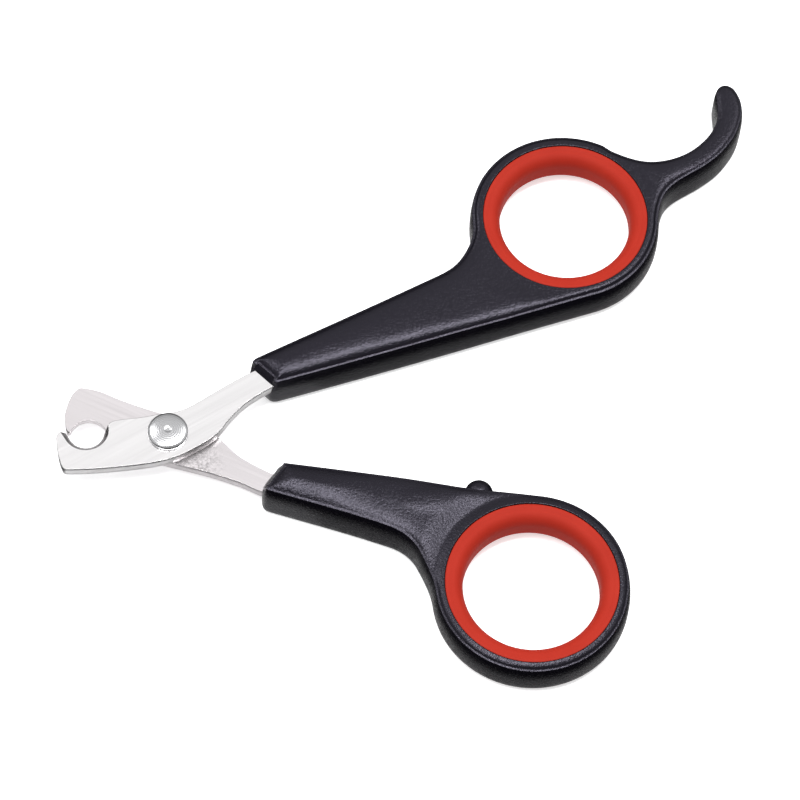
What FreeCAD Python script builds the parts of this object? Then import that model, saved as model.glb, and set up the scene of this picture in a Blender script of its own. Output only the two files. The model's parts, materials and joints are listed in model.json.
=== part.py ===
import FreeCAD, Part
import math
import os

# Pet nail trimmer: two crossed levers on one rivet. Millimetres, +Z up.
# Each lever is drawn in its own plane frame, with the pivot at (0, 0) and the centre of its finger ring on +X,
# and is then turned to its place. +X of the assembly halves the angle between the two arms.

# ---- Driving dimensions ------------------------------------------------------------------------------------
OPEN_ANGLE = 56.6              # angle between the two arms as the trimmer lies open
MID_Z = 4.3                    # height of the plane that both handles are centred on
UPPER_REACH = 80.1             # pivot to finger-ring centre, upper lever
LOWER_REACH = 66.9             # pivot to finger-ring centre, lower lever

BLADE_T = 2.0                  # blade stock
BEVEL_W = 0.55                 # width of the ground bevel round each notch
BEVEL_H = 1.1                  # depth of that bevel
BLADE_GAP = 0.04               # running clearance between the two blades
RIVET_R = 1.7                  # rivet shank
PIVOT_CLEARANCE = 0.05         # radial clearance of the upper blade's hole
HEAD_R = 3.4                   # domed rivet head
HEAD_RIM = 0.45                # straight height of the head's rim
HEAD_DOME = 0.65               # rise of the dome above the rim
DIMPLE_R = 0.6                 # small dimple in the middle of the dome
DIMPLE_DEPTH = 0.15
HEAD_GAP = 0.04                # clearance under the head
WASHER_R = 3.2
WASHER_T = 0.4
TAIL_R = 2.6                   # peened tail under the washer
TAIL_T = 0.7

RING_OUT_R = 16.35             # handle ring, outside, at mid height
LINER_R = 14.3                 # seat of the liner in the handle
LINER_HALF_H = 3.2             # half the liner's height
LINER_CLEAR_R = 11.3           # finger hole
LINER_STRAIGHT = 1.0           # half the straight stretch of the finger hole
RIB_R = 14.75                  # snap rib round the liner
RIB_HALF_H = 0.8

ARM_HALF_T = 4.3               # half thickness of the lower arm, on which the trimmer lies
UPPER_HALF_T = 3.9             # half thickness of the upper arm
HOOK_HALF_T = 4.0              # half thickness of the little-finger rest
RING_HALF_T = 3.3              # half thickness of the finger rings
EDGE_R = 0.8                   # rounding of the handles' outer edges

TANG_HOLE_R = 1.2              # holes in the tangs that the plastic flows through
BUMPER_R = 2.45                # rubber stop
BUMPER_TIP_R = 0.4             # small flat at the top of its dome
BUMPER_STEM_R = 1.4
BUMPER_STEM_L = 4.0
BUMPER_X = 51.8                # where the stop stands on the lower lever
BUMPER_Y = 12.6
BUMPER_HEADING = 108           # its axis, square to the handle's inner wall

os.makedirs("parts", exist_ok=True)
V = FreeCAD.Vector
UP = V(0, 0, 1)


# ---- Outlines ----------------------------------------------------------------------------------------------
def ring_knot(reach, angle):
    """A knot on a handle ring's outside, passed anticlockwise."""
    a = math.radians(angle)
    return reach + RING_OUT_R * math.cos(a), RING_OUT_R * math.sin(a), angle + 90


def edge(a, b):
    """One curve from knot a to knot b. A knot is x, y and heading in degrees. Equal turns give a round arc."""
    start, end = V(a[0], a[1], 0), V(b[0], b[1], 0)
    chord = start.distanceToPoint(end)
    turn = abs((b[2] - a[2] + 180) % 360 - 180)
    if turn < 0.5:
        return Part.makeLine(start, end)
    half = math.radians(turn) / 2
    handle = chord * 2 / 3 * math.tan(half / 2) / math.sin(half)
    lean = [V(math.cos(math.radians(k[2])), math.sin(math.radians(k[2])), 0) * handle for k in (a, b)]
    curve = Part.BezierCurve()
    curve.setPoles([start, start + lean[0], end - lean[1], end])
    return curve.toShape()


def plate(knots, bottom, top):
    """A plate between two heights, with the closed outline that the knots describe. A knot that is given twice,
    with two headings, is a sharp corner."""
    pairs = zip(knots, knots[1:] + knots[:1])
    edges = [edge(a, b) for a, b in pairs if (a[0], a[1]) != (b[0], b[1])]
    face = Part.Face(Part.Wire(edges))
    face.translate(V(0, 0, bottom))
    return face.extrude(V(0, 0, top - bottom))


def cylinder(radius, bottom, top, x=0, y=0):
    return Part.makeCylinder(radius, top - bottom, V(x, y, bottom), UP)


UPPER_HANDLE = [
    (18.2, 2.6, -76), (19.15, -1.2, -76), (20.7, -2.35, -14.5),
    ring_knot(UPPER_REACH, -103.7), ring_knot(UPPER_REACH, -35),
    (96.6, -6.1, 40), (100.5, -4.45, 8), (106.0, -4.25, 4), (111.7, -3.2, 21), (115.8, -1.15, 37),
    (119.2, 2.4, 60), (120.15, 6.2, 90), (118.4, 8.2, 180), (116.4, 6.9, 238), (114.4, 3.5, 235),
    (107.9, 0.0, 190), (99.9, 1.25, 152), (94.65, 6.95, 121), ring_knot(UPPER_REACH, 34),
    ring_knot(UPPER_REACH, 90), ring_knot(UPPER_REACH, 147),
    (65.0, 6.45, 240), (60.0, 2.4, 205), (53.0, 1.75, 177), (20.1, 4.0, 176),
]
LOWER_HANDLE = [
    (19.45, 1.0, -97), (18.9, -2.3, -93), (20.4, -3.75, 7),
    (41.6, -1.2, 4), (47.6, -3.05, -40), ring_knot(LOWER_REACH, 212), ring_knot(LOWER_REACH, 270),
    ring_knot(LOWER_REACH, 0), ring_knot(LOWER_REACH, 70), ring_knot(LOWER_REACH, 108), (20.9, 2.85, 197.6),
]
UPPER_BLADE = [
    (-15.0, 9.35, 160), (-15.9, 9.4, 205), (-17.4, 7.0, 246), (-18.4, 3.7, 262), (-18.0, 2.75, -31),
    (-9.0, -1.9, -24), (-2.0, -4.5, -13), (2.0, -4.85, 0), (6.8, -4.5, 14), (10.5, -3.05, 20), (15.5, -1.85, 4),
    (20.0, -1.75, -6), (54.0, -7.4, -12), (54.7, -4.4, 170), (20.0, 2.4, 174),
    (10.0, 2.45, 182), (5.2, 2.35, 176), (2.4, 3.0, 155), (-3.0, 5.05, 156), (-6.7, 6.6, 165), (-8.2, 6.2, 228),
]
LOWER_BLADE = [
    (-9.6, -3.55, 230), (-8.4, -4.95, 330), (-4.0, -5.1, 8), (1.0, -4.3, 10), (8.0, -3.1, 9), (14.0, -2.45, 4),
    (20.0, -2.3, 8), (49.4, 3.1, 14), (48.9, 6.0, 192), (20.0, 1.45, 186),
    (15.5, 1.55, 174), (11.0, 2.4, 158), (6.5, 4.0, 164), (1.0, 4.75, 182), (-4.0, 3.6, 186), (-13.0, 3.1, 178),
    (-17.2, 2.45, 195), (-18.3, 0.4, 266), (-17.9, -2.8, 282), (-16.6, -5.4, 306), (-15.4, -6.1, 15),
]
# The cutting notches: radius and centre.
UPPER_NOTCH = (3.06, -11.5, 7.6)
LOWER_NOTCH = (3.2, -12.2, -5.6)


# ---- Metal pieces ------------------------------------------------------------------------------------------
def notch_cutter(notch, side, bottom):
    """The round notch with its open mouth, and the bevel on the face that is away from the other blade."""
    radius, x, y = notch
    outer = radius + BEVEL_W
    mouth = Part.makeBox(2 * radius, 2 * radius, BLADE_T, V(x - radius, y if side > 0 else y - 2 * radius, bottom))
    face = bottom + BLADE_T if side > 0 else bottom
    start, end = face - side * BEVEL_H, face
    bevel = Part.makeCone(radius, outer, BEVEL_H, V(x, y, start), UP * side)
    corners = [(x, start), (x - radius, start), (x - outer, end), (x, end), (x, start)]
    ramp = Part.makePolygon([V(across, y, height) for across, height in corners])
    ramp = Part.Face(ramp).extrude(V(0, side * 2 * radius, 0))
    return [cylinder(radius, bottom, bottom + BLADE_T, x, y), mouth, bevel, ramp]


def blade(knots, notch, side, bottom, hole_r):
    """A blade with its notch, pivot hole and tang holes. side is +1 where the notch opens towards +Y."""
    solid = plate(knots, bottom, bottom + BLADE_T)
    for cutter in notch_cutter(notch, side, bottom):
        solid = solid.cut(cutter)
    solid = solid.cut(cylinder(hole_r, bottom, bottom + BLADE_T))
    for along in (30.0, 45.0):
        lift = along * (-0.055 if side > 0 else 0.035) + (-0.2 if side > 0 else -0.8)
        solid = solid.cut(cylinder(TANG_HOLE_R, bottom, bottom + BLADE_T, along, lift))
    return solid


def rivet(lower_bottom, upper_top):
    """Domed head, shank and peened tail in one piece, turned about the pivot axis."""
    seat = upper_top + HEAD_GAP
    rim, crown = seat + HEAD_RIM, seat + HEAD_RIM + HEAD_DOME
    under = lower_bottom - WASHER_T
    points = [V(0, 0, under - TAIL_T), V(TAIL_R * 0.7, 0, under - TAIL_T), V(TAIL_R, 0, under - TAIL_T * 0.4),
              V(TAIL_R, 0, under), V(RIVET_R, 0, under), V(RIVET_R, 0, seat), V(HEAD_R, 0, seat), V(HEAD_R, 0, rim)]
    edges = [Part.makeLine(a, b) for a, b in zip(points, points[1:])]
    lip, pit = V(DIMPLE_R, 0, crown), V(DIMPLE_R / 2, 0, crown - DIMPLE_DEPTH)
    edges.append(Part.Arc(points[-1], V(HEAD_R * 0.6, 0, rim + HEAD_DOME * 0.72), lip).toShape())
    edges += [Part.makeLine(lip, pit), Part.makeLine(pit, V(0, 0, pit.z)), Part.makeLine(V(0, 0, pit.z), points[0])]
    return Part.Face(Part.Wire(edges)).revolve(V(0, 0, 0), UP, 360)


def washer(lower_bottom):
    disc = cylinder(WASHER_R, lower_bottom - WASHER_T, lower_bottom)
    return disc.cut(cylinder(RIVET_R, lower_bottom - WASHER_T, lower_bottom))


# ---- Plastic and rubber pieces -----------------------------------------------------------------------------
def liner(reach):
    """Soft ring with a rounded finger hole and a snap rib round its outside."""
    low, high = MID_Z - LINER_HALF_H, MID_Z + LINER_HALF_H
    round_r = LINER_HALF_H - LINER_STRAIGHT
    bend = round_r * (1 - math.sqrt(0.5))
    inner, step = LINER_CLEAR_R, LINER_STRAIGHT
    path = [V(LINER_R, 0, low), V(LINER_R, 0, MID_Z - RIB_HALF_H), V(RIB_R, 0, MID_Z - RIB_HALF_H * 0.5),
            V(RIB_R, 0, MID_Z + RIB_HALF_H * 0.5), V(LINER_R, 0, MID_Z + RIB_HALF_H), V(LINER_R, 0, high),
            V(inner + round_r, 0, high)]
    edges = [Part.makeLine(a, b) for a, b in zip(path, path[1:])]
    edges.append(Part.Arc(path[-1], V(inner + bend, 0, high - bend), V(inner, 0, MID_Z + step)).toShape())
    edges.append(Part.makeLine(V(inner, 0, MID_Z + step), V(inner, 0, MID_Z - step)))
    edges.append(Part.Arc(V(inner, 0, MID_Z - step), V(inner + bend, 0, low + bend),
                          V(inner + round_r, 0, low)).toShape())
    edges.append(Part.makeLine(V(inner + round_r, 0, low), path[0]))
    ring = Part.Face(Part.Wire(edges)).revolve(V(0, 0, 0), UP, 360)
    ring.translate(V(reach, 0, 0))
    return ring


def side_profile(stations):
    """What a handle keeps seen from the side. A station is x and half thickness; the thickness eases between them."""
    def bound(sign):
        points = [V(x, -40, MID_Z + sign * half) for x, half in stations]
        edges = []
        for a, b in zip(points, points[1:]):
            reach = V((b.x - a.x) / 2, 0, 0)
            curve = Part.BezierCurve()
            curve.setPoles([a, a + reach, b - reach, b])
            edges.append(curve.toShape() if abs(a.z - b.z) > 0.01 else Part.makeLine(a, b))
        return points, edges
    top_points, top = bound(1)
    low_points, low = bound(-1)
    ends = [Part.makeLine(top_points[0], low_points[0]), Part.makeLine(top_points[-1], low_points[-1])]
    wire = Part.Wire(Part.__sortEdges__(top + low + ends))
    return Part.Face(wire).extrude(V(0, 80, 0))


def rounded(solid):
    """Rounds the outer edges where the side wall meets the top and the underside."""
    def is_wall_top(e):
        middle = e.valueAt((e.FirstParameter + e.LastParameter) / 2)
        return abs(middle.z - MID_Z) > RING_HALF_T - 0.2 and e.BoundBox.ZLength < ARM_HALF_T
    edges = [e for e in solid.Edges if is_wall_top(e)]
    return solid.makeFillet(EDGE_R, edges)


def handle(knots, reach, stations, fillings):
    """Moulded handle: outline, side profile and rounded edges, less its liner's seat and what it is moulded over."""
    solid = plate(knots, MID_Z - ARM_HALF_T - 1, MID_Z + ARM_HALF_T + 1).common(side_profile(stations))
    solid = rounded(solid)
    solid = solid.cut(cylinder(LINER_R, -1, 2 * MID_Z + 1, reach))
    for filling in fillings:
        solid = solid.cut(filling)
    return solid


def bumper():
    """Round rubber stop: half-round head outside the wall and a plain stem inside it."""
    heading = math.radians(BUMPER_HEADING)
    out = V(math.cos(heading), math.sin(heading), 0)
    base = V(BUMPER_X, BUMPER_Y, MID_Z)
    edges = [Part.makeLine(V(0, 0, -BUMPER_STEM_L), V(BUMPER_STEM_R, 0, -BUMPER_STEM_L)),
             Part.makeLine(V(BUMPER_STEM_R, 0, -BUMPER_STEM_L), V(BUMPER_STEM_R, 0, 0)),
             Part.makeLine(V(BUMPER_STEM_R, 0, 0), V(BUMPER_R, 0, 0)),
             Part.Arc(V(BUMPER_R, 0, 0), V(BUMPER_R * 0.73, 0, BUMPER_R * 0.72), V(BUMPER_TIP_R, 0, BUMPER_R)).toShape(),
             Part.makeLine(V(BUMPER_TIP_R, 0, BUMPER_R), V(0, 0, BUMPER_R)),
             Part.makeLine(V(0, 0, BUMPER_R), V(0, 0, -BUMPER_STEM_L))]
    solid = Part.Face(Part.Wire(edges)).revolve(V(0, 0, 0), UP, 360)
    solid.Placement = FreeCAD.Placement(base, FreeCAD.Rotation(UP, out))
    return solid


# ---- Assembly ----------------------------------------------------------------------------------------------
lower_bottom = MID_Z - BLADE_GAP / 2 - BLADE_T
upper_bottom = MID_Z + BLADE_GAP / 2
UPPER_STATIONS = [(10, UPPER_HALF_T), (48, UPPER_HALF_T), (64, RING_HALF_T), (93, RING_HALF_T),
                  (103, HOOK_HALF_T), (130, HOOK_HALF_T)]
LOWER_STATIONS = [(10, ARM_HALF_T), (38, ARM_HALF_T), (54, RING_HALF_T), (90, RING_HALF_T)]

upper_blade = blade(UPPER_BLADE, UPPER_NOTCH, 1, upper_bottom, RIVET_R + PIVOT_CLEARANCE)
lower_blade = blade(LOWER_BLADE, LOWER_NOTCH, -1, lower_bottom, RIVET_R)
upper_liner, lower_liner = liner(UPPER_REACH), liner(LOWER_REACH)
stop = bumper()
upper = {
    "upper_blade": upper_blade,
    "upper_ring": upper_liner,
    "upper_handle": handle(UPPER_HANDLE, UPPER_REACH, UPPER_STATIONS, [upper_blade, upper_liner]),
}
lower = {
    "lower_blade": lower_blade,
    "lower_ring": lower_liner,
    "stop_bumper": stop,
    "lower_handle": handle(LOWER_HANDLE, LOWER_REACH, LOWER_STATIONS, [lower_blade, lower_liner, stop]),
    "pivot_rivet": rivet(lower_bottom, upper_bottom + BLADE_T),
    "rivet_washer": washer(lower_bottom),
}
for group, sign in ((upper, 1), (lower, -1)):
    for solid in group.values():
        solid.rotate(V(0, 0, 0), UP, sign * OPEN_ANGLE / 2)
pieces = {**upper, **lower}

# The origin is the middle of the whole trimmer's box, on the surface that it lies on.
box = Part.makeCompound(list(pieces.values())).optimalBoundingBox(False, False)
shift = V(-box.Center.x, -box.Center.y, -box.ZMin)
print("pivot at", [round(c, 3) for c in shift], "box", [round(s, 2) for s in (box.XLength, box.YLength, box.ZLength)])
for name, solid in pieces.items():
    solid.translate(shift)
    print(name, len(solid.Solids), "solid", "valid" if solid.isValid() else "NOT VALID", round(solid.Volume, 1))
    solid.exportStep(f"parts/{name}.step")
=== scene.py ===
import json
import math

import bpy
import numpy as np
from mathutils import Matrix, Vector
from mathutils.geometry import delaunay_2d_cdt
from mathutils.kdtree import KDTree


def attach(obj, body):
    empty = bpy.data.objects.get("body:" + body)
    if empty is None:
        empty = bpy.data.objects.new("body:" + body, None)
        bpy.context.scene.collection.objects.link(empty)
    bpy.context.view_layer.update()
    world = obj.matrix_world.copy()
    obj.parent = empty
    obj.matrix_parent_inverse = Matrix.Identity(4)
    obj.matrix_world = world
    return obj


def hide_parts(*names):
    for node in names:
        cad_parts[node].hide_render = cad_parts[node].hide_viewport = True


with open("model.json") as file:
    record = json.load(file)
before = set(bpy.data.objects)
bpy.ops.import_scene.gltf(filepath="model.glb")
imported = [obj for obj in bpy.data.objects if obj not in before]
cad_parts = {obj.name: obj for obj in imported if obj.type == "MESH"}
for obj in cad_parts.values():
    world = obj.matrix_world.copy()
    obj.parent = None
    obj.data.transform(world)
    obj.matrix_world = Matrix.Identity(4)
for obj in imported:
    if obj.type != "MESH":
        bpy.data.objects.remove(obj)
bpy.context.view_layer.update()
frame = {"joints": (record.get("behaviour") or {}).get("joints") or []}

# Pet nail trimmer. The shapes below are drawn in millimetres, each lever in its own plane frame: pivot at
# (0, 0), centre of the finger ring on +X. place() turns a lever to where the frame has it, and into metres.
MM = 0.001
PIVOT = Vector(frame["joints"][0]["pos_m"])
HALF_OPEN = math.radians(28.3)                 # each lever stands this far off the +X axis
MID_Z = 4.3                                    # middle plane, where the two blades meet
UPPER_REACH, LOWER_REACH = 80.1, 66.9          # from the pivot to the centre of the finger ring
RING_R = 16.35                                 # outside of the finger rings
UPPER_SEAT_R, LOWER_SEAT_R = 14.3, 14.5        # seats of the soft liners
UPPER_HOLE_R, LOWER_HOLE_R = 11.3, 11.42       # finger holes


# ---- Outlines ----------------------------------------------------------------------------------------------
def ring_knot(reach, angle):
    """A knot on the outside of a finger ring, at an angle in degrees."""
    a = math.radians(angle)
    return reach + RING_R * math.cos(a), RING_R * math.sin(a), angle + 90


# Each knot is x, y and the outline's heading there, in degrees. The outlines run anticlockwise.
UPPER_HANDLE = [
    (18.2, 2.6, -76), (19.15, -1.2, -76), (20.7, -2.35, -14.5),
    ring_knot(UPPER_REACH, -103.7), ring_knot(UPPER_REACH, -35),
    (96.6, -6.1, 40), (100.5, -4.45, 8), (106.0, -4.25, 4), (111.7, -3.2, 21), (115.8, -1.15, 37),
    (119.2, 2.4, 60), (120.15, 6.2, 90), (118.4, 8.2, 180), (116.4, 6.9, 238), (114.4, 3.5, 235),
    (107.9, 0.0, 190), (99.9, 1.25, 152), (94.65, 6.95, 121), ring_knot(UPPER_REACH, 34),
    ring_knot(UPPER_REACH, 90), ring_knot(UPPER_REACH, 147),
    (65.0, 6.45, 240), (60.0, 2.4, 205), (53.0, 1.75, 177), (20.1, 4.0, 176),
]
LOWER_HANDLE = [
    (19.52, 1.55, -97), (18.9, -2.3, -93), (20.4, -3.75, 7),
    (41.6, -1.2, 4), (47.6, -3.05, -40), ring_knot(LOWER_REACH, 212), ring_knot(LOWER_REACH, 270),
    ring_knot(LOWER_REACH, 0), ring_knot(LOWER_REACH, 70), ring_knot(LOWER_REACH, 108), (20.45, 2.71, 197.6),
]
UPPER_BLADE = [
    (-15.0, 9.35, 160), (-15.9, 9.4, 205), (-17.4, 7.0, 246), (-18.4, 3.7, 262), (-18.0, 2.75, -31),
    (-9.0, -1.9, -24), (-2.0, -4.5, -13), (2.0, -4.85, 0), (6.8, -4.5, 14), (10.5, -3.05, 20),
    (15.5, -1.85, 4), (20.0, -1.75, -6), (24.0, -2.0, -2), (24.0, 2.0, 178), (20.0, 2.4, 174),
    (10.0, 2.45, 182), (5.2, 2.35, 176), (2.4, 3.0, 155), (-3.0, 5.05, 156), (-6.7, 6.6, 165),
    (-8.2, 6.2, 228),
]
LOWER_BLADE = [
    (-9.6, -3.55, 230), (-8.4, -4.95, 330), (-4.0, -5.1, 8), (1.0, -4.3, 10), (8.0, -3.1, 9),
    (14.0, -2.45, 4), (20.0, -2.3, 8), (24.0, -1.9, 6), (24.0, 1.8, 186), (20.0, 1.45, 186),
    (15.5, 1.55, 174), (11.0, 2.4, 158), (6.5, 4.0, 164), (1.0, 4.75, 182), (-4.0, 3.6, 186),
    (-13.0, 3.1, 178), (-17.2, 2.45, 195), (-18.3, 0.4, 266), (-17.9, -2.8, 282),
    (-16.6, -5.4, 306), (-15.4, -6.1, 15),
]
# Radius of the notch, and its centre
UPPER_NOTCH = (3.06, -11.5, 7.6)
LOWER_NOTCH = (3.19, -12.19, -5.6)


def trace(knots, step):
    """Points along the closed outline through the knots, about one step apart. It bends evenly between
    knots."""
    points = []
    for a, b in zip(knots, knots[1:] + knots[:1]):
        start, end = np.array(a[:2], float), np.array(b[:2], float)
        chord = np.linalg.norm(end - start)
        turn = abs((b[2] - a[2] + 180) % 360 - 180)
        half = math.radians(max(turn, 0.5)) / 2
        pull = chord * 2 / 3 * math.tan(half / 2) / math.sin(half)
        out = np.array([math.cos(math.radians(a[2])), math.sin(math.radians(a[2]))]) * pull
        back = np.array([math.cos(math.radians(b[2])), math.sin(math.radians(b[2]))]) * pull
        count = max(2, round(chord / step), round(turn / 7))
        for t in np.arange(count) / count:
            s = 1 - t
            points.append(s ** 3 * start + 3 * s * s * t * (start + out) + 3 * s * t * t * (end - back)
                          + t ** 3 * end)
    return np.array(points)


def outward(points):
    """Unit normals that point out of an anticlockwise loop."""
    along = np.roll(points, -1, axis=0) - np.roll(points, 1, axis=0)
    along /= np.linalg.norm(along, axis=1)[:, None]
    return np.stack([along[:, 1], -along[:, 0]], axis=1)


def inside(points, loop):
    """True for the points inside a closed loop."""
    x, y = points[:, 0][:, None], points[:, 1][:, None]
    a, b = loop, np.roll(loop, -1, axis=0)
    crosses = (a[:, 1] > y) != (b[:, 1] > y)
    climb = np.where(b[:, 1] == a[:, 1], 1.0, b[:, 1] - a[:, 1])
    at = a[:, 0] + (y - a[:, 1]) / climb * (b[:, 0] - a[:, 0])
    return (np.sum(crosses & (x < at), axis=1) % 2) == 1


def distance(points, loop):
    """Distance of each point from a closed loop."""
    tree = KDTree(len(loop))
    for i, p in enumerate(loop):
        tree.insert((p[0], p[1], 0), i)
    tree.balance()
    result = np.empty(len(points))
    for n, p in enumerate(points):
        i = tree.find((p[0], p[1], 0))[1]
        best = 1e9
        for j in (i - 1, i):
            a, b = loop[j], loop[(j + 1) % len(loop)]
            ab = b - a
            t = min(1.0, max(0.0, float(np.dot(p - a, ab) / np.dot(ab, ab))))
            best = min(best, float(np.hypot(*(p - a - ab * t))))
        result[n] = best
    return result


def smooth(low, high, value):
    """0 at low, 1 at high, and an S curve between them."""
    t = np.clip((value - low) / (high - low), 0, 1)
    return t * t * (3 - 2 * t)


def ease(stations, x):
    """A value at x that eases from station to station. Each station is an x and its value."""
    result = np.full(np.shape(x), float(stations[0][1]))
    for (x0, v0), (x1, v1) in zip(stations, stations[1:]):
        result = result + (v1 - v0) * smooth(x0, x1, x)
    return result


# ---- Making meshes -----------------------------------------------------------------------------------------
def place(points, lever):
    """From a lever's own frame in millimetres to the row frame in metres. lever is 1 for the upper lever
    and -1 for the lower one."""
    angle = HALF_OPEN * lever
    c, s = math.cos(angle), math.sin(angle)
    p = np.asarray(points, float)
    x = p[:, 0] * c - p[:, 1] * s
    y = p[:, 0] * s + p[:, 1] * c
    return np.stack([x * MM + PIVOT.x, y * MM + PIVOT.y, p[:, 2] * MM], axis=1)


def make_piece(name, points, faces, lever, body, nodes, material, flats=()):
    """A mesh that takes the place of CAD nodes. flats lists the runs of points that lie on flat faces, as
    (start, end, up), and up is 1 or -1."""
    mesh = bpy.data.meshes.new(name)
    mesh.from_pydata(place(points, lever).tolist(), [], faces)
    mesh.validate()
    mesh.update()
    mesh.shade_smooth()
    if flats:
        shading = np.array([v.vector for v in mesh.vertex_normals])
        for start, end, up in flats:
            shading[start:end] = (0, 0, up)
        mesh.normals_split_custom_set_from_vertices(shading.tolist())
    piece = bpy.data.objects.new(name, mesh)
    bpy.context.scene.collection.objects.link(piece)
    mesh.materials.append(material)
    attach(piece, body)
    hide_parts(*nodes)
    return piece


def cap(outer, holes, extra):
    """Triangles over an outline with holes, through extra points. Returns the points, in that order, and
    the faces."""
    loops = [outer] + holes
    edges, start = [], 0
    for loop in loops:
        n = len(loop)
        edges += [(start + i, start + (i + 1) % n) for i in range(n)]
        start += n
    points = np.concatenate(loops + ([extra] if len(extra) else []))
    flat, _, tris, _, _, _ = delaunay_2d_cdt([Vector(p) for p in points], edges, [], 0, 1e-7)
    flat = np.array([(v.x, v.y) for v in flat])
    assert len(flat) == len(points), "the outline crosses itself"
    centres = flat[np.array(tris)].mean(axis=1)
    keep = inside(centres, outer)
    for hole in holes:
        keep &= ~inside(centres, hole)
    faces = []
    for tri, good in zip(tris, keep):
        if good:
            a, b, c = flat[list(tri)]
            turn = (b[0] - a[0]) * (c[1] - a[1]) - (b[1] - a[1]) * (c[0] - a[0])
            faces.append(tuple(tri) if turn > 0 else tuple(reversed(tri)))
    return flat, faces


def bridge(faces, a, b, n, turn=False):
    """Quads between two loops of n points that start at indices a and b."""
    for i in range(n):
        j = (i + 1) % n
        quad = (a + i, b + i, b + j, a + j)
        faces.append(tuple(reversed(quad)) if turn else quad)


def grid(low, high, step):
    """A triangular grid of points over a box."""
    rows = np.arange(low[1], high[1], step * 0.866)
    points = []
    for k, y in enumerate(rows):
        xs = np.arange(low[0] + (step / 2 if k % 2 else 0), high[0], step)
        points.append(np.stack([xs, np.full(len(xs), y)], axis=1))
    return np.concatenate(points)


# ---- Handles -----------------------------------------------------------------------------------------------
EDGE_INSET = 0.17          # how far the crisp top edge stands in from the outline
EDGE_ROUND = 0.12          # rounding of that edge
BULGE = 0.12               # how far the wall's middle stands out of the outline
SEAT_ROUND = 0.14          # rounding of the liner's seat
ARM_LAND = 0.2             # width of the land inside the edge of an arm
LAND_SLOPE = 0.27          # and how steeply a land rises
UNDERSIDE = 0.3            # height of the underside's crown, as a share of the top's
LOOP_STEP = 0.22           # spacing of the outline's points
GRID_STEP = 0.36           # spacing of the points inside
EDGE_ROWS = (0.1, 0.2, 0.3, 0.42, 0.55, 0.7, 0.95)     # finer rows of points beside the edge
SEAT_ROWS = (0.12, 0.25, 0.4, 0.6, 0.85)               # and round the seat
ROUND_SEAT = 220           # points round the seat


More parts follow.
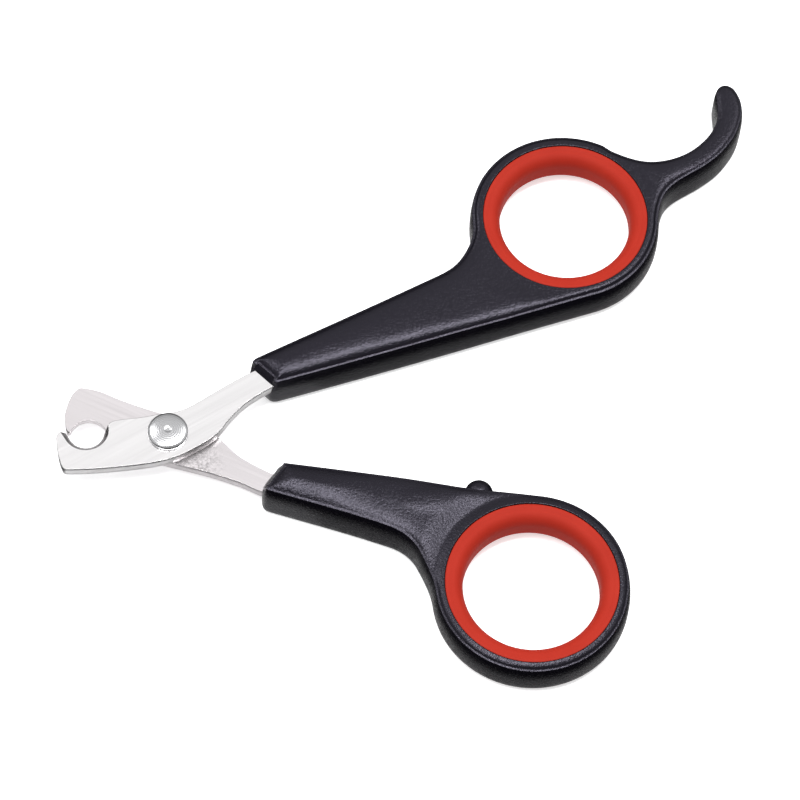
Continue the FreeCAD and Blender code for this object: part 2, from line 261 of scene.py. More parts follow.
def handle(name, knots, reach, seat_r, lever, body, node, material, above, below, steep, spread, rim, lean,
           bumps=()):
    """A moulded handle. The crisp edge of its top is above the middle plane by above, and that of its
    underside is below it by below. Inside the edge is a narrow land, then the top rises with a slope that
    starts at steep and fades over spread. rim is the shape of the finger ring's top: its height at the
    seat, how steeply it starts to fall, how that slope grows, its roll-off at the edge and the width of its
    land. The side walls lean in by lean. bumps are low swellings: x, y, long and short radius, heading and
    height."""
    outline = trace(knots, LOOP_STEP)
    normal = outward(outline)
    n = len(outline)
    top_inset = EDGE_INSET + lean(outline, normal)

    def rise(points, to_edge):
        """Height of the top surface above its edge."""
        rho = np.hypot(points[:, 0] - reach, points[:, 1]) - seat_r - SEAT_ROUND
        fade = ease(spread, points[:, 0])
        out = np.maximum(rho, 0)
        onto_arm = smooth(0.9, 5.6, rho)
        width = rim["land"] + (ARM_LAND - rim["land"]) * onto_arm
        past_land = np.maximum(to_edge - width - 0.05, 0)
        land = LAND_SLOPE * np.minimum(to_edge, width)
        crown = 1 - np.exp(-past_land / fade)
        ridge = np.maximum(rim["height"] - rim["fall"] * out - rim["curve"] * out * out, 0)
        ridge = ridge * (1 - np.exp(-past_land / rim["roll"]))
        top = land + ridge * (1 - onto_arm) + ease(steep, points[:, 0]) * fade * crown * onto_arm
        for x, y, long_r, short_r, turned, high in bumps:
            c, s = math.cos(math.radians(turned)), math.sin(math.radians(turned))
            dx, dy = points[:, 0] - x, points[:, 1] - y
            far = ((dx * c + dy * s) / long_r) ** 2 + ((dy * c - dx * s) / short_r) ** 2
            top = top + high * np.exp(-far * far) * smooth(0.1, 1.2, to_edge)
        return top

    edge_loop = outline - normal * (top_inset + EDGE_ROUND)[:, None]
    m = ROUND_SEAT
    turn = np.arange(m) / m * 2 * math.pi
    around = np.stack([np.cos(turn), np.sin(turn)], axis=1)
    centre = np.array([reach, 0.0])
    seat_loop = centre + around * (seat_r + SEAT_ROUND)
    rows = [outline - normal * (top_inset + EDGE_ROUND + depth)[:, None] for depth in EDGE_ROWS]
    rows += [centre + around * (seat_r + SEAT_ROUND + depth) for depth in SEAT_ROWS]
    fine = np.concatenate(rows)
    coarse = grid(outline.min(axis=0), outline.max(axis=0), GRID_STEP)
    coarse = coarse[inside(coarse, edge_loop)]
    coarse = coarse[distance(coarse, edge_loop) > 1.1]
    coarse = coarse[np.hypot(coarse[:, 0] - reach, coarse[:, 1]) > seat_r + SEAT_ROUND + 1.0]
    fine = fine[inside(fine, edge_loop)]
    fine = fine[np.hypot(fine[:, 0] - reach, fine[:, 1]) > seat_r + SEAT_ROUND + 0.1]
    fine = fine[distance(fine, edge_loop) > 0.085]
    # Where rows from two sides meet, points nearer to each other than 0.09 mm are left out.
    kept, taken = [], {}
    for p in fine:
        key = (round(p[0] / 0.1), round(p[1] / 0.1))
        close = [taken[k] for k in ((key[0] + i, key[1] + j) for i in (-1, 0, 1) for j in (-1, 0, 1))
                 if k in taken]
        if all(np.hypot(*(q - p)) > 0.09 for q in close):
            taken[key] = p
            kept.append(p)
    flat, top_faces = cap(edge_loop, [seat_loop], np.concatenate([np.array(kept), coarse]))
    to_edge = np.zeros(len(flat))
    to_edge[n:] = distance(flat[n:], edge_loop)
    lift = rise(flat, to_edge)
    z_top = MID_Z + ease(above, flat[:, 0]) + lift
    z_low = MID_Z - ease(below, flat[:, 0]) - UNDERSIDE * lift

    points = [np.column_stack([flat, z_top]), np.column_stack([flat, z_low])]
    under = len(flat)
    faces = list(top_faces) + [tuple(under + i for i in reversed(f)) for f in top_faces]
    count = 2 * under

    # The side wall from the top edge down: how far in from the outline, and the height.
    up, down = ease(above, edge_loop[:, 0]), ease(below, edge_loop[:, 0])
    section = []
    for degrees in (22, 45, 68, 90):
        a = math.radians(degrees)
        section.append((top_inset + EDGE_ROUND * (1 - math.sin(a)), up - EDGE_ROUND * (1 - math.cos(a))))
    for share, drop in ((0.90, 0.25), (0.66, 0.6), (0.36, 1.15), (0.12, 1.9)):
        section.append((top_inset * share - BULGE * (1 - share), up - drop))
    section += [(-BULGE, up * 0.1), (-BULGE, -down * 0.55), (-BULGE + 0.03, -down + 0.9),
                (-BULGE + 0.11, -down + 0.35), (0.09, -down + 0.1)]
    previous = 0
    for inset, level in section:
        points.append(np.column_stack([outline - normal * np.broadcast_to(inset, n)[:, None], MID_Z + level]))
        bridge(faces, previous, count, n)
        previous = count
        count += n
    bridge(faces, previous, under, n)

    previous = n
    for level, sign, turns in ((z_top[n:n + m], 1, (30, 60, 90)), (z_low[n:n + m], -1, (90, 60, 30))):
        for degrees in turns:
            a = math.radians(degrees)
            ring = centre + around * (seat_r + SEAT_ROUND * (1 - math.sin(a)))
            points.append(np.column_stack([ring, level - sign * SEAT_ROUND * (1 - math.cos(a))]))
            bridge(faces, previous, count, m, True)
            previous = count
            count += m
    bridge(faces, previous, under + n, m, True)
    return make_piece(name, np.concatenate(points), faces, lever, body, [node], material)


def toward_back(normal, lever):
    """Which way an outline faces in the row frame: 1 towards +Y, -1 towards -Y."""
    return normal[:, 0] * math.sin(HALF_OPEN * lever) + normal[:, 1] * math.cos(HALF_OPEN * lever)


def at_front(points, normal):
    """1 on the end of the handle that the blade comes out of."""
    return smooth(0.35, 0.9, -normal[:, 0]) * smooth(24, 21, points[:, 0])


def lean_upper(points, normal):
    """The side towards +Y stands upright, the one towards -Y has draft up to the finger rest, and the front
    end leans back most."""
    front = at_front(points, normal)
    back = smooth(-0.3, 0.6, toward_back(normal, 1)) * (1 - front)
    near = smooth(0.3, -0.6, toward_back(normal, 1)) * smooth(103, 95, points[:, 0])
    return 0.03 - 0.13 * back + 0.13 * near + 0.95 * front


def lean_lower(points, normal):
    """Draft all round, except on the side of the ring towards +Y, and the front end leans back most."""
    ring = smooth(48, 60, points[:, 0]) * smooth(-0.3, 0.6, toward_back(normal, -1))
    return 0.16 - 0.26 * ring + 0.7 * at_front(points, normal)


# ---- Turned pieces -----------------------------------------------------------------------------------------
def lathe(name, profile, count, centre, lever, body, nodes, material, axis=None):
    """A closed profile (radius, height) turned round a vertical axis, or round a level one that heads axis
    radians."""
    profile = np.array(profile, float)
    turn = np.arange(count) / count * 2 * math.pi
    points, rows = [], []
    for r, z in profile:
        if r < 1e-6:
            rows.append([len(points)])
            points.append((0.0, 0.0, z))
        else:
            rows.append(list(range(len(points), len(points) + count)))
            points += [(r * math.cos(t), r * math.sin(t), z) for t in turn]
    faces = []
    closed = len(rows[0]) > 1
    for a, b in zip(rows, rows[1:] + rows[:1] if closed else rows[1:]):
        for i in range(count):
            j = (i + 1) % count
            quad = [a[i % len(a)], b[i % len(b)], b[j % len(b)], a[j % len(a)]]
            quad = list(dict.fromkeys(quad))
            if len(quad) > 2:
                faces.append(tuple(quad))
    points = np.array(points)
    if axis is not None:
        out = np.array([math.cos(axis), math.sin(axis), 0.0])
        side = np.array([-out[1], out[0], 0.0])
        points = points[:, :1] * side + points[:, 1:2] * np.array([0, 0, 1.0]) + points[:, 2:] * out
    points = points + np.array(centre)
    return make_piece(name, points, faces, lever, body, nodes, material)


def arc(cx, cz, r, start, end, steps):
    """Points along an arc of a profile, from start to end in degrees."""
    return [(cx + r * math.cos(math.radians(a)), cz + r * math.sin(math.radians(a)))
            for a in np.linspace(start, end, steps + 1)]


def finger_ring(name, reach, seat_r, hole_r, lever, body, node, material):
    """Soft ring: a flat face that dips a little towards the hole, then a full rounding into the finger
    hole."""
    outer, straight, lip, lip_height = seat_r - 0.04, 1.0, 2.0, 2.15
    rounding = [(hole_r + lip * (1 - math.sin(t)), straight + lip_height * math.cos(t))
                for t in np.linspace(0, math.pi / 2, 16)]
    face = [(outer, 3.14), (outer - 0.02, 3.24), (outer - 0.1, 3.3), (outer - 0.45, 3.28),
            (outer - 0.75, 3.24)]
    upper = face + rounding
    profile = upper + [(r, -z) for r, z in reversed(upper)]
    return lathe(name, profile, 240, (reach, 0, MID_Z), lever, body, [node], material)


# ---- Blades ------------------------------------------------------------------------------------------------
BLADE_T = 2.0
BLADE_HOLE_R = 1.75
BROKEN = 0.07              # height of the broken edges


def blade_loop(knots, notch, side, widen):
    """The blade's outline with its notch, which opens towards +Y if side is 1 and towards -Y if it is -1,
    and is wider by widen. The number of points doesn't depend on widen."""
    radius, cx, cy = notch
    wide = radius + widen

    def cut(p, r):
        return np.hypot(p[0] - cx, p[1] - cy) < r or (abs(p[0] - cx) < r and side * (p[1] - cy) > 0)

    def crossing(outer, inner):
        """Where the line from a point outside the notch to one inside it meets the notch."""
        for _ in range(40):
            middle = (outer + inner) / 2
            outer, inner = (outer, middle) if cut(middle, wide) else (middle, inner)
        return outer

    base = trace(knots, 0.16)
    gone = np.array([cut(p, radius) for p in base])
    starts = [i for i in range(len(base)) if gone[i - 1] and not gone[i]]
    lengths = [int(np.argmax(np.roll(gone, -i))) for i in starts]
    count = max(lengths)
    base = np.roll(base, -starts[lengths.index(count)], axis=0)
    free = [i for i in range(count) if not cut(base[i], wide)]
    a, b = free[0], free[-1]
    start, end = crossing(base[a], base[a - 1]), crossing(base[b], base[b + 1])
    loop = [start]
    for i in range(count):
        if i < a:
            t = (i + 1) / (a + 1)
            loop.append(start * (1 - t) + base[a] * t)
        elif i > b:
            t = (i - b) / (count - b)
            loop.append(base[b] * (1 - t) + end * t)
        else:
            loop.append(base[i])
    loop.append(end)

    def bearing(p, straight):
        return straight if side * (p[1] - cy) > 0 else math.degrees(math.atan2(p[1] - cy, p[0] - cx))

    turns = np.linspace(bearing(end, 0 if side > 0 else 180), bearing(start, -180 if side > 0 else 0), 240)
    path = [end] + [np.array([cx + wide * math.cos(math.radians(t)), cy + wide * math.sin(math.radians(t))])
                    for t in turns] + [start]
    path = np.array(path)
    run = np.concatenate([[0], np.cumsum(np.linalg.norm(np.diff(path, axis=0), axis=1))])
    at = np.linspace(0, run[-1], 74)[1:-1]
    arch = np.column_stack([np.interp(at, run, path[:, 0]), np.interp(at, run, path[:, 1])])
    return np.concatenate([np.array(loop), arch])


def blade(name, knots, notch, side, bottom, lever, body, node, material):
    """A stamped blade: sheared walls, lightly broken edges, and the ground bevel round the notch. The bevel
    is on the outer face, which is the top of the upper blade and the underside of the lower one."""
    bevel, room = (0.75, 0.55) if side > 0 else (0.55, 0.4)
    plain = blade_loop(knots, notch, side, 0.0)
    ground = blade_loop(knots, notch, side, bevel)
    n = len(plain)
    m = 72
    turn = np.arange(m) / m * 2 * math.pi
    hole = np.stack([np.cos(turn), np.sin(turn)], axis=1) * BLADE_HOLE_R

    def inset(loop, by):
        """The loop moved in by by, but by no more than room times its points' spacing, so it can't cross
        itself."""
        gap = np.linalg.norm(loop - np.roll(loop, 1, axis=0), axis=1)
        gap = np.minimum(gap, np.roll(gap, -1))
        return loop - outward(loop) * np.minimum(by, room * gap)[:, None]

    rows = [(inset(plain, 0.05), 0.0), (plain, BROKEN), (plain, 1.1), (ground * 0.5 + plain * 0.5, 1.5),
            (ground, BLADE_T - BROKEN), (inset(ground, 0.1), BLADE_T)]
    if side < 0:
        rows = [(loop, BLADE_T - z) for loop, z in reversed(rows)]
    low_flat, low_faces = cap(rows[0][0], [hole], np.empty((0, 2)))
    top_flat, top_faces = cap(rows[-1][0], [hole], np.empty((0, 2)))
    points = [np.column_stack([low_flat, np.full(len(low_flat), bottom)])]
    faces = [tuple(reversed(f)) for f in low_faces]
    count, previous = len(low_flat), 0
    for loop, z in rows[1:-1]:
        points.append(np.column_stack([loop, np.full(n, bottom + z)]))
        bridge(faces, count, previous, n)
        previous = count
        count += n
    points.append(np.column_stack([top_flat, np.full(len(top_flat), bottom + BLADE_T)]))
    bridge(faces, count, previous, n)
    faces += [tuple(count + i for i in f) for f in top_faces]
    bridge(faces, n, count + n, m)
    points = np.concatenate(points)
    flats = [(0, len(low_flat), -1), (count, len(points), 1)]
    return make_piece(name, points, faces, lever, body, [node], material, flats)


# ---- Materials ---------------------------------------------------------------------------------------------
def new_material(name):
    """A material, its node tree and its shader."""
    material = bpy.data.materials.new(name)
    material.use_nodes = True
    tree = material.node_tree
    shader = tree.nodes["Principled BSDF"]
    return material, tree, shader


def node(tree, kind, inputs=None, **settings):
    """A shader node. Each input is a socket to link from, or a value."""
    made = tree.nodes.new(kind)
    for key, value in settings.items():
        setattr(made, key, value)
    for key, value in (inputs or {}).items():
        if isinstance(value, bpy.types.NodeSocket):
            tree.links.new(value, made.inputs[key])
        else:
            made.inputs[key].default_value = value
    return made


def ramp(tree, source, stops):
    """A colour ramp on a socket. Each stop is a place and a grey or a colour."""
    made = tree.nodes.new("ShaderNodeValToRGB")
    while len(made.color_ramp.elements) < len(stops):
        made.color_ramp.elements.new(0.5)
    for element, (at, value) in zip(made.color_ramp.elements, stops):
        element.position = at
        element.color = (*value, 1) if isinstance(value, tuple) else (value, value, value, 1)
    tree.links.new(source, made.inputs["Fac"])
    return made.outputs["Color"]


def plastic(name, smoothest=0.12, roughest=0.27):
    """Moulded plastic: near black with a slight violet tint, and a fine grain that glitters in the
    highlights. Its roughness runs from smoothest to roughest."""
    material, tree, shader = new_material(name)
    place_at = node(tree, "ShaderNodeTexCoord").outputs["Object"]
    grain = node(tree, "ShaderNodeTexNoise",
                 {"Vector": place_at, "Scale": 2600.0, "Detail": 3.0, "Roughness": 0.6})
    waves = node(tree, "ShaderNodeTexNoise", {"Vector": place_at, "Scale": 320.0, "Detail": 2.0})
    shader.inputs["Base Color"].default_value = (0.0046, 0.0040, 0.0066, 1)
    shader.inputs["Specular Tint"].default_value = (0.86, 0.82, 1.0, 1)
    rough = ramp(tree, grain.outputs["Fac"], [(0.38, smoothest), (0.62, roughest)])
    tree.links.new(rough, shader.inputs["Roughness"])
    fine = node(tree, "ShaderNodeBump",
                {"Height": grain.outputs["Fac"], "Strength": 1.0, "Distance": 0.00008})
    bump = node(tree, "ShaderNodeBump", {"Height": waves.outputs["Fac"], "Strength": 0.12,
                                         "Distance": 0.00008, "Normal": fine.outputs["Normal"]})
    tree.links.new(bump.outputs["Normal"], shader.inputs["Normal"])
    shader.inputs["Specular IOR Level"].default_value = 0.345
    return material


def red_rubber(name):
    """Soft red rubber, slightly clouded, with a fine grain."""
    material, tree, shader = new_material(name)
    place_at = node(tree, "ShaderNodeTexCoord").outputs["Object"]
    cloud = node(tree, "ShaderNodeTexNoise", {"Vector": place_at, "Scale": 160.0, "Detail": 4.0})
    colour = ramp(tree, cloud.outputs["Fac"], [(0.3, (0.312, 0.0188, 0.0096)), (0.7, (0.337, 0.022, 0.0116))])
    tree.links.new(colour, shader.inputs["Base Color"])
    grain = node(tree, "ShaderNodeTexNoise", {"Vector": place_at, "Scale": 2200.0, "Detail": 2.0})
    bump = node(tree, "ShaderNodeBump",
                {"Height": grain.outputs["Fac"], "Strength": 0.25, "Distance": 0.00004})
    tree.links.new(bump.outputs["Normal"], shader.inputs["Normal"])
    shader.inputs["Roughness"].default_value = 0.65
    shader.inputs["Specular IOR Level"].default_value = 0.09
    return material


def steel(name, tint, lever, shade_and_grit, shade_and_grit_on):
    """Brushed flat faces, rougher sheared walls, and broken edges and bevels painted darker as shade, told
    apart by the way the surface faces. The next to last argument is a dark gritty patch of painted shade:
    x and y from the pivot, and radius, in millimetres. On the upper blade's wall it paints the shade in the
    gap against the lower blade and the lower blade's reflection, over some real burr; on the lower blade's
    face it paints the upper blade's shadow. The last argument says whether it is on a "face" or a "wall"."""
    material, tree, shader = new_material(name)
    shader.inputs["Metallic"].default_value = 1.0
    place_at = node(tree, "ShaderNodeTexCoord").outputs["Object"]
    turned = node(tree, "ShaderNodeMapping", {"Vector": place_at, "Rotation": (0, 0, -HALF_OPEN * lever)})
    streaks = node(tree, "ShaderNodeMapping", {"Vector": turned.outputs["Vector"], "Scale": (60, 4200, 60)})
    brushed = node(tree, "ShaderNodeTexNoise",
                   {"Vector": streaks.outputs["Vector"], "Scale": 1.0, "Detail": 3.0})
    facing = node(tree, "ShaderNodeSeparateXYZ",
                  {"Vector": node(tree, "ShaderNodeNewGeometry").outputs["True Normal"]})
    flatness = node(tree, "ShaderNodeMath", {0: facing.outputs["Z"]}, operation="ABSOLUTE")
    is_flat = ramp(tree, flatness.outputs["Value"], [(0.5, 0.0), (0.8, 1.0)])
    spots = node(tree, "ShaderNodeTexNoise",
                 {"Vector": place_at, "Scale": 900.0, "Detail": 5.0, "Roughness": 0.7})
    wall = ramp(tree, spots.outputs["Fac"], [(0.35, tuple(c * 0.9 for c in tint)), (0.65, tint)])
    face = ramp(tree, brushed.outputs["Fac"], [(0.25, tuple(c * 0.95 for c in tint)), (0.75, tint)])
    colour = node(tree, "ShaderNodeMix", {"Factor": is_flat, "A": wall, "B": face},
                  data_type="RGBA").outputs["Result"]
    # Broken edges and bevels, which face partly upwards, are painted at half brightness: painted shade
    # standing in for the dark they reflect.
    edge = ramp(tree, flatness.outputs["Value"], [(0.45, 1.0), (0.6, 0.5), (0.93, 0.5), (0.985, 1.0)])
    colour = node(tree, "ShaderNodeMix", {"Factor": 1.0, "A": colour, "B": edge}, data_type="RGBA",
                  blend_type="MULTIPLY").outputs["Result"]
    # The dark gritty patch is painted shade: on the upper blade's wall the shade of the gap against the lower
    # blade and its reflection, over some real burr; on the lower blade's face the upper blade's shadow.
    centre = (PIVOT.x + shade_and_grit[0] * MM, PIVOT.y + shade_and_grit[1] * MM, 0.005)
    reach = node(tree, "ShaderNodeVectorMath", {0: place_at, 1: centre}, operation="DISTANCE")
    near = node(tree, "ShaderNodeMapRange", {"Value": reach.outputs["Value"],
                                             "From Min": shade_and_grit[2] * 0.35 * MM,
                                             "From Max": shade_and_grit[2] * MM, "To Min": 1.0, "To Max": 0.0})
    patch_grain = node(tree, "ShaderNodeTexNoise",
                {"Vector": place_at, "Scale": 2200.0, "Detail": 3.0, "Roughness": 0.7})
    if shade_and_grit_on == "face":
        darkening_stops, patch_rough, where = [(0.35, 0.5), (0.58, 0.95)], 0.27, is_flat
    else:
        darkening_stops, patch_rough = [(0.3, 0.26), (0.7, 0.4)], 0.6
        where = ramp(tree, is_flat, [(0.0, 1.0), (0.5, 0.0)])
    patch_darkening = ramp(tree, patch_grain.outputs["Fac"], darkening_stops)
    shaded_gritty = node(tree, "ShaderNodeMix", {"Factor": 1.0, "A": colour, "B": patch_darkening}, data_type="RGBA",
                   blend_type="MULTIPLY").outputs["Result"]
    share = node(tree, "ShaderNodeMath", {0: near.outputs["Result"], 1: where}, operation="MULTIPLY")
    colour = node(tree, "ShaderNodeMix", {"Factor": share.outputs["Value"], "A": colour, "B": shaded_gritty},
                  data_type="RGBA")
    tree.links.new(colour.outputs["Result"], shader.inputs["Base Color"])
    face_rough = ramp(tree, brushed.outputs["Fac"], [(0.3, 0.17), (0.7, 0.24)])
    wall_rough = ramp(tree, spots.outputs["Fac"], [(0.3, 0.42), (0.7, 0.25)])
    rough = node(tree, "ShaderNodeMix", {"Factor": is_flat, "A": wall_rough, "B": face_rough},
                 data_type="RGBA")
    rough = node(tree, "ShaderNodeMix", {"Factor": share.outputs["Value"], "A": rough.outputs["Result"],
                                         "B": (patch_rough, patch_rough, patch_rough, 1)}, data_type="RGBA")
    tree.links.new(rough.outputs["Result"], shader.inputs["Roughness"])
    bump = node(tree, "ShaderNodeBump",
                {"Height": brushed.outputs["Fac"], "Strength": 0.3, "Distance": 0.00002})
    tree.links.new(bump.outputs["Normal"], shader.inputs["Normal"])
    return material


def turned_steel(name):
    """Polished rivet, with fine concentric turning marks."""
    material, tree, shader = new_material(name)
    shader.inputs["Metallic"].default_value = 1.0
    shader.inputs["Base Color"].default_value = (0.52, 0.52, 0.53, 1)
    place_at = node(tree, "ShaderNodeTexCoord").outputs["Object"]
    moved = node(tree, "ShaderNodeMapping", {"Vector": place_at, "Location": (-PIVOT.x, -PIVOT.y, 0)})
    rings = node(tree, "ShaderNodeTexWave",
                 {"Vector": moved.outputs["Vector"], "Scale": 900.0, "Distortion": 0.6},
                 wave_type="RINGS", rings_direction="Z")
    rough = ramp(tree, rings.outputs["Fac"], [(0.0, 0.17), (1.0, 0.28)])
    tree.links.new(rough, shader.inputs["Roughness"])
    bump = node(tree, "ShaderNodeBump",
                {"Height": rings.outputs["Fac"], "Strength": 0.25, "Distance": 0.00003})
    tree.links.new(bump.outputs["Normal"], shader.inputs["Normal"])
    return material


# ---- The pieces --------------------------------------------------------------------------------------------
black = plastic("handle_black")
matter_black = plastic("handle_black_matter", 0.15, 0.33)
red = red_rubber("ring_red")
# The upper blade's dark patch is painted shade and reflection from the lower blade on its wall; the lower
# blade's patch is the upper blade's painted shadow on its face.
steel_upper = steel("steel_upper", (0.905, 0.89, 0.895), 1, (5.4, -3.2, 6.5), "wall")
steel_lower = steel("steel_lower", (0.81, 0.77, 0.785), -1, (4.2, -5.0, 5.6), "face")
rivet_steel = turned_steel("rivet_steel")
rubber = plastic("bumper_black")

# Along the upper handle come the arm, the ring and, from x = 95 on, the finger rest.
handle("upper_handle_moulding", UPPER_HANDLE, UPPER_REACH, UPPER_SEAT_R, 1, "upper_lever", "upper_handle",
       black, above=[(48, 3.15), (64, 2.9), (93, 2.9), (103, 3.2), (112, 3.2), (120, 3.1)],
       below=[(48, 3.5), (64, 3.3), (93, 3.3), (103, 4.1)],
       steep=[(48, 1.05), (98, 1.05), (106, 0.9)],
       spread=[(24, 0.9), (34, 1.0), (46, 0.85), (56, 0.7), (98, 0.6), (106, 0.32)],
       rim={"height": 0.45, "fall": 0.0, "curve": 0.0, "roll": 0.22, "land": 0.32}, lean=lean_upper)
handle("lower_handle_moulding", LOWER_HANDLE, LOWER_REACH, LOWER_SEAT_R, -1, "lower_lever", "lower_handle",
       matter_black, above=[(38, 3.75), (54, 2.9)], below=[(38, 3.95), (54, 3.3)],
       steep=[(28, 0.70), (40, 0.48), (52, 0.95)], spread=[(26, 1.9), (38, 1.4), (52, 0.7)],
       rim={"height": 0.5, "fall": 0.2, "curve": 0.06, "roll": 0.18, "land": 0.2}, lean=lean_lower,
       bumps=[(44.6, 5.9, 3.6, 1.9, 22, 0.2)])
finger_ring("upper_ring_soft", UPPER_REACH, UPPER_SEAT_R, UPPER_HOLE_R, 1, "upper_lever", "upper_ring", red)
finger_ring("lower_ring_soft", LOWER_REACH, LOWER_SEAT_R, LOWER_HOLE_R, -1, "lower_lever", "lower_ring", red)
blade("upper_blade_stamping", UPPER_BLADE, UPPER_NOTCH, 1, MID_Z + 0.02, 1, "upper_lever", "upper_blade",
      steel_upper)
blade("lower_blade_stamping", LOWER_BLADE, LOWER_NOTCH, -1, MID_Z - 2.02, -1, "lower_lever", "lower_blade",
      steel_lower)

# The rivet, from the dimple in its dome down to the peened tail under the washer
HEAD_Z = 6.36
dimple = [(0.0, 0.95), (0.3, 0.95), (0.45, 0.99), (0.6, 1.09), (0.75, 1.10)]
dome = [(r, 0.35 + 0.75 * math.sqrt(max(0.0, 1 - ((r - 0.6) / 2.86) ** 2)))
        for r in np.linspace(0.9, 3.36, 30)]
head = [(r, HEAD_Z + z) for r, z in dimple + dome + [(3.42, 0.4), (3.42, 0.06), (3.36, 0.0), (1.7, 0.0)]]
tail = [(1.7, 2.28), (1.7, 1.88), (2.6, 1.88), (2.6, 1.5), (2.4, 1.25), (1.8, 1.18), (0.0, 1.18)]
lathe("rivet_turned", head + tail, 96, (0, 0, 0), 1, "lower_lever", ["pivot_rivet"],
      rivet_steel)
washer = [(3.15, 1.88), (3.2, 1.93), (3.2, 2.23), (3.15, 2.28), (1.72, 2.28), (1.72, 1.88)]
lathe("washer_turned", washer, 96, (0, 0, 0), -1, "lower_lever", ["rivet_washer"], steel_lower)
button = ([(0.0, 2.45), (0.4, 2.44)] + arc(0, 0, 2.45, 80, 0, 16)
          + [(2.45, -0.6), (1.4, -0.6), (1.4, -2.0), (0, -2.0)])
lathe("bumper_dome", button, 64, (51.8, 12.6, MID_Z), -1, "lower_lever", ["stop_bumper"],
      rubber, math.radians(108))


# ---- Studio ------------------------------------------------------------------------------------------------
def table(name, colour, glow):
    """A large flat surface at the trimmer's foot that also glows a little."""
    mesh = bpy.data.meshes.new(name)
    mesh.from_pydata([(-1.6, -1.6, 0), (1.6, -1.6, 0), (1.6, 1.6, 0), (-1.6, 1.6, 0)], [], [(0, 1, 2, 3)])
    top = bpy.data.objects.new(name, mesh)
    bpy.context.scene.collection.objects.link(top)
    material, tree, shader = new_material(name)
    shader.inputs["Base Color"].default_value = (*colour, 1)
    shader.inputs["Roughness"].default_value = 0.9
    shader.inputs["Specular IOR Level"].default_value = 0.1
    shader.inputs["Emission Color"].default_value = (1, 1, 1, 1)
    shader.inputs["Emission Strength"].default_value = glow
    mesh.materials.append(material)
    return top


def softbox(name, at, size, strength):
    """A soft light that faces the object. at and size are metres, strength its radiance."""
    light = bpy.data.lights.new(name, "AREA")
    light.shape = "RECTANGLE"
    light.size, light.size_y = size
    light.energy = strength * size[0] * size[1] * math.pi
    lamp = bpy.data.objects.new(name, light)
    lamp.location = at
    lamp.rotation_euler = (Vector(at)).to_track_quat("Z", "Y").to_euler()
    bpy.context.scene.collection.objects.link(lamp)


BOARD_Z = -0.0004          # in metres
BOARD_STEP = 0.9           # spacing of its points, in millimetres
# outline, lever, whiteness beside it, and the distances in millimetres between which that fades out
FADES = (
    (UPPER_HANDLE, 1, 0.5, 0.2, 6.0), (LOWER_HANDLE, -1, 0.5, 0.2, 6.0),
    (UPPER_BLADE, 1, 0.64, 4, 7), (LOWER_BLADE, -1, 0.64, 4, 7))


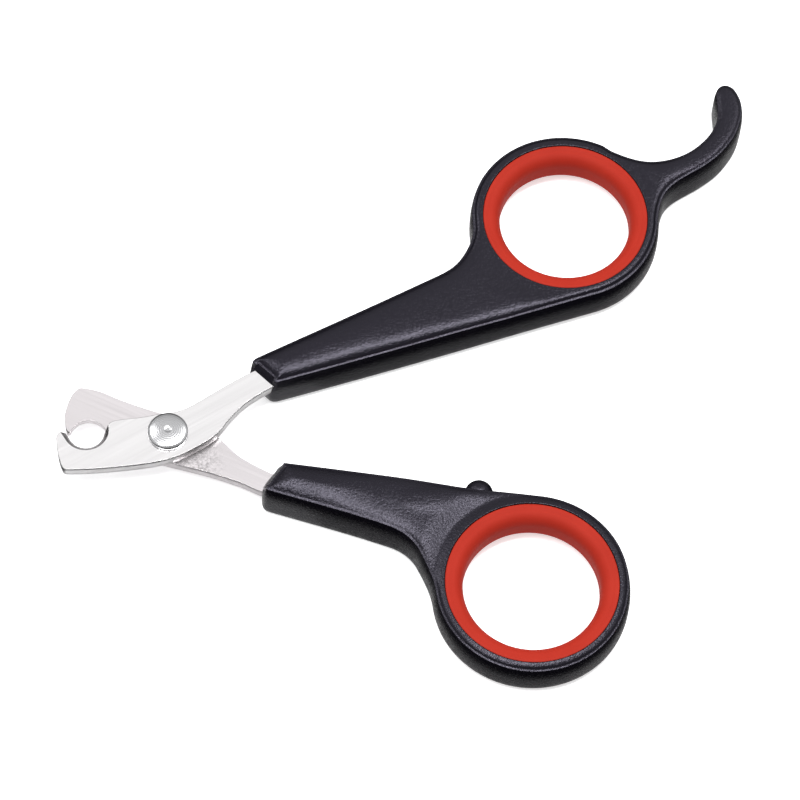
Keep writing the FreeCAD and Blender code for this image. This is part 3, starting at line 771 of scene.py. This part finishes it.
def reflecting_board():
    """A white board just under the sweep. It is brightest in the finger holes, white under the rest of the
    trimmer, and fades out next to it: close to the handles, and further out round the blades."""
    xs = np.arange(-60, 80, BOARD_STEP) + PIVOT.x / MM + 40
    ys = np.arange(-70, 70, BOARD_STEP) + PIVOT.y / MM
    across = len(xs)
    points = np.array([(x, y) for y in ys for x in xs])
    white = np.zeros(len(points))
    for knots, lever, level, near, far in FADES:
        flat = trace(knots, 1.0)
        loop = place(np.column_stack([flat, np.zeros(len(flat))]), lever)[:, :2] / MM
        gap = np.where(inside(points, loop), 0.0, distance(points, loop))
        white = np.maximum(white, np.where(gap == 0, 0.85, level * (1 - smooth(near, far, gap))))
    for reach, lever in ((UPPER_REACH, 1), (LOWER_REACH, -1)):
        centre = place([(reach, 0, 0)], lever)[0, :2] / MM
        white[np.hypot(*(points - centre).T) < 11.0] = 1.0
    faces = []
    for row in range(len(ys) - 1):
        for column in range(across - 1):
            a = row * across + column
            quad = (a, a + 1, a + 1 + across, a + across)
            if max(white[i] for i in quad) > 0:
                faces.append(quad)
    mesh = bpy.data.meshes.new("board")
    mesh.from_pydata([(x * MM, y * MM, BOARD_Z) for x, y in points], [], faces)
    whiteness = mesh.color_attributes.new("whiteness", "FLOAT_COLOR", "POINT")
    whiteness.data.foreach_set("color", np.repeat(white, 4).astype(np.float32))
    board = bpy.data.objects.new("board", mesh)
    bpy.context.scene.collection.objects.link(board)
    material, tree, shader = new_material("board")
    shade = node(tree, "ShaderNodeAttribute", attribute_name="whiteness")
    tree.links.new(ramp(tree, shade.outputs["Fac"], [(0.0, 0.0), (0.5, 0.9)]), shader.inputs["Base Color"])
    tree.links.new(ramp(tree, shade.outputs["Fac"],
                        [(0.0, 0.0), (0.5, 0.08), (0.6, 0.22), (0.85, 0.5), (1.0, 1.1)]),
                   shader.inputs["Emission Color"])
    shader.inputs["Emission Strength"].default_value = 1.0
    shader.inputs["Roughness"].default_value = 0.9
    shader.inputs["Specular IOR Level"].default_value = 0.1
    mesh.materials.append(material)
    board.visible_camera = False


# The white sweep is what the camera sees; the white board right under it is what the trimmer reflects. Past
# the board the room is dark.
sweep = table("sweep", (0.80, 0.80, 0.81), 0.6)
sweep.visible_diffuse = sweep.visible_glossy = False
reflecting_board()
softbox("overhead", (0.03, -0.07, 1.0), (1.05, 0.2), 18.0)
softbox("left", (-0.52, 0.42, 0.80), (0.30, 0.36), 5.5)
softbox("right", (0.55, 0.40, 0.78), (0.30, 0.36), 3.0)

world = bpy.data.worlds.new("studio")
bpy.context.scene.world = world
world.use_nodes = True
sky = world.node_tree
toward = node(sky, "ShaderNodeSeparateXYZ", {"Vector": node(sky, "ShaderNodeTexCoord").outputs["Generated"]})
by_height = ramp(sky, toward.outputs["Z"],
                 [(0.0, 0.02), (0.08, 0.12), (0.25, 0.38), (0.5, 0.70), (0.75, 0.90), (1.0, 0.90)])
depth = node(sky, "ShaderNodeMapRange", {"Value": toward.outputs["Y"], "From Min": -0.55, "From Max": -0.12,
                                         "To Min": 0.36, "To Max": 1.0})
light = node(sky, "ShaderNodeMix", {"Factor": 1.0, "A": by_height, "B": depth.outputs["Result"]},
             data_type="RGBA", blend_type="MULTIPLY")
sky.links.new(light.outputs["Result"], sky.nodes["Background"].inputs["Color"])

# The camera: its place, and its own right, up and backward directions
CAMERA_AT = (-0.043942, -0.322421, 0.609269)
CAMERA_RIGHT, CAMERA_UP = (0.99716, -0.06849, 0.03142), (0.04578, 0.88183, 0.46935)
CAMERA_BACK = (-0.05985, -0.46657, 0.88246)
camera_data = bpy.data.cameras.new("camera")
camera_data.sensor_width = 36.0
camera_data.lens = 181.53
camera_data.clip_start, camera_data.clip_end = 0.01, 20
camera = bpy.data.objects.new("camera", camera_data)
camera.matrix_world = Matrix([*zip(CAMERA_RIGHT, CAMERA_UP, CAMERA_BACK, CAMERA_AT), (0, 0, 0, 1)])
bpy.context.scene.collection.objects.link(camera)
bpy.context.scene.camera = camera
bpy.context.scene.view_settings.view_transform = "Standard"
